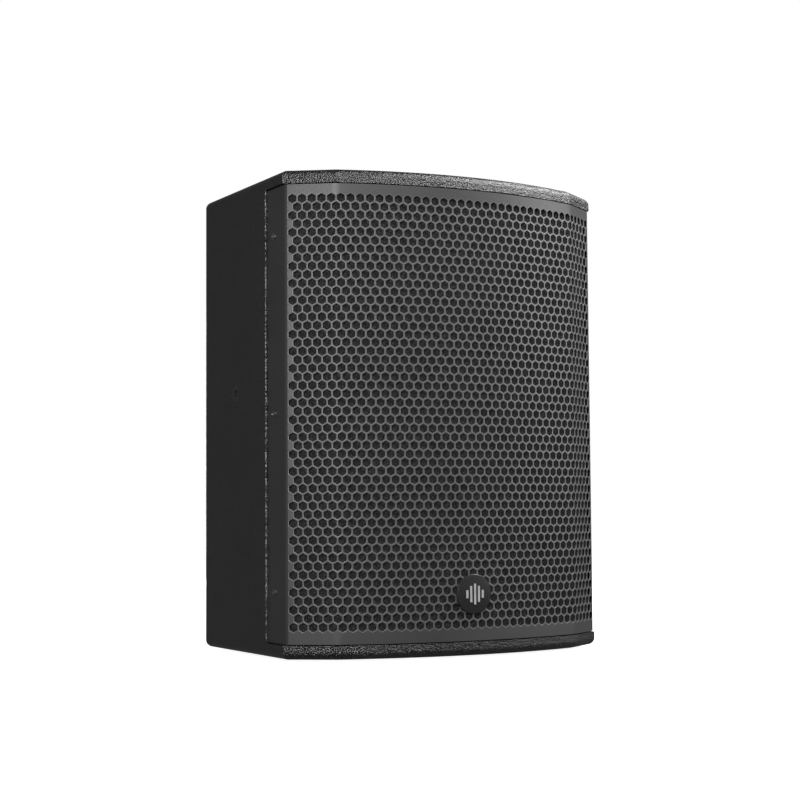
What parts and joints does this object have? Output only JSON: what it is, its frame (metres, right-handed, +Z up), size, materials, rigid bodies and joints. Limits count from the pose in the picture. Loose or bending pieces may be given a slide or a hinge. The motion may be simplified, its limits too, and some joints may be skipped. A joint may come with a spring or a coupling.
{
  "type": "pa speaker cabinet",
  "caption": "Two-way PA loudspeaker cabinet: black textured plywood box with a bowed hexagon-perforated steel grille, round badge, rear speaker sockets, pole socket and rigging points.",
  "frame": {"origin": "under the middle of the cabinet's bounding box, at the level its rubber feet stand on", "axes": "+Z up along the height, -Y out of the grille at the front, and +X to the right of a viewer who faces the grille"},
  "size_m": [0.394, 0.29, 0.523],
  "materials": {
    "cabinet_paint": "black pebbled paint over birch plywood",
    "baffle_paint": "flat black paint over birch plywood",
    "bare_plywood": "sawn birch plywood",
    "wadding": "loose polyester wadding",
    "rubber": "matte rubber",
    "grille_powder_coat": "satin black powder coat on steel sheet",
    "foam": "open cell foam",
    "black_screws": "blackened steel",
    "badge_black": "satin black, domed",
    "badge_silver": "bright satin",
    "spring_steel": "plain spring steel",
    "basket_paint": "black paint on pressed steel",
    "gasket_foam": "closed cell foam rubber",
    "doped_cloth": "doped cloth",
    "cone_paper": "pulp paper",
    "spider_cloth": "resin treated cloth",
    "former_film": "polyimide film",
    "copper": "enamelled copper",
    "plated_steel": "zinc plated steel",
    "ferrite": "sintered ferrite",
    "horn_plastic": "moulded black ABS",
    "dome_metal": "thin titanium foil",
    "board_green": "glass epoxy board",
    "capacitor_film": "wrapped film",
    "resistor_ceramic": "white cement",
    "terminal_paint": "black powder coat",
    "socket_plastic": "glass filled nylon",
    "insert_steel": "blackened steel",
    "pole_steel": "black powder coat",
    "cable_jacket": "PVC jacket"
  },
  "bodies": {
    "cabinet": {"top_panel": "cabinet_paint", "bottom_panel": "cabinet_paint", "left_side_panel": "cabinet_paint", "right_side_panel": "cabinet_paint", "rear_panel": "cabinet_paint", "front_baffle": "baffle_paint", "baffle_cleats": "bare_plywood", "cross_brace": "bare_plywood", "damping_wadding": "wadding", "rubber_feet": "rubber", "grille": "grille_powder_coat", "grille_foam": "foam", "grille_screws": "black_screws", "woofer_basket": "basket_paint", "woofer_gasket": "gasket_foam", "woofer_surround": "doped_cloth", "woofer_front_ring": "gasket_foam", "woofer_spider": "spider_cloth", "woofer_top_plate": "plated_steel", "woofer_magnet": "ferrite", "woofer_yoke": "plated_steel", "woofer_terminals": "plated_steel", "woofer_bolts": "black_screws", "woofer_tee_nuts": "plated_steel", "horn": "horn_plastic", "horn_gasket": "gasket_foam", "horn_screws": "black_screws", "driver_yoke": "plated_steel", "driver_magnet": "ferrite", "driver_top_plate": "plated_steel", "driver_phase_plug": "horn_plastic", "driver_suspension": "former_film", "driver_clamp_ring": "horn_plastic", "driver_rear_cover": "horn_plastic", "driver_bolts": "black_screws", "port_tubes": "horn_plastic", "crossover_board": "board_green", "crossover_mountings": "plated_steel", "crossover_inductors": "copper", "crossover_capacitors": "capacitor_film", "crossover_resistors": "resistor_ceramic", "terminal_plate": "terminal_paint", "terminal_gasket": "gasket_foam", "terminal_screws": "black_screws", "speaker_sockets": "socket_plastic", "socket_screws": "black_screws", "side_rigging_inserts": "insert_steel", "top_rigging_inserts": "insert_steel", "pole_socket": "pole_steel", "pole_socket_screws": "black_screws", "internal_cables": "cable_jacket"},
    "woofer_moving": {"woofer_cone": "cone_paper", "woofer_dust_cap": "cone_paper", "woofer_former": "former_film", "woofer_coil": "copper"},
    "driver_moving": {"driver_diaphragm": "dome_metal", "driver_voice_coil": "copper"},
    "badge": {"badge_plate": "badge_black", "badge_mark": "badge_silver", "badge_retainer": "spring_steel"}
  },
  "joints": [
    {"name": "woofer_stroke", "type": "slide", "parent": "cabinet", "child": "woofer_moving", "axis": [0, -1, 0], "range_m": [-0.006, 0.006], "stiffness_N_per_m": 3000, "deforming": ["woofer_surround", "woofer_spider"]},
    {"name": "driver_stroke", "type": "slide", "parent": "cabinet", "child": "driver_moving", "axis": [0, -1, 0], "range_m": [-0.0003, 0.0003], "stiffness_N_per_m": 2000, "deforming": ["driver_suspension"]},
    {"name": "badge_turn", "type": "hinge", "parent": "cabinet", "child": "badge", "pos_m": [0, -0.141, 0.069], "axis": [0, -1, 0], "range_deg": [-90, 90]}
  ]
}
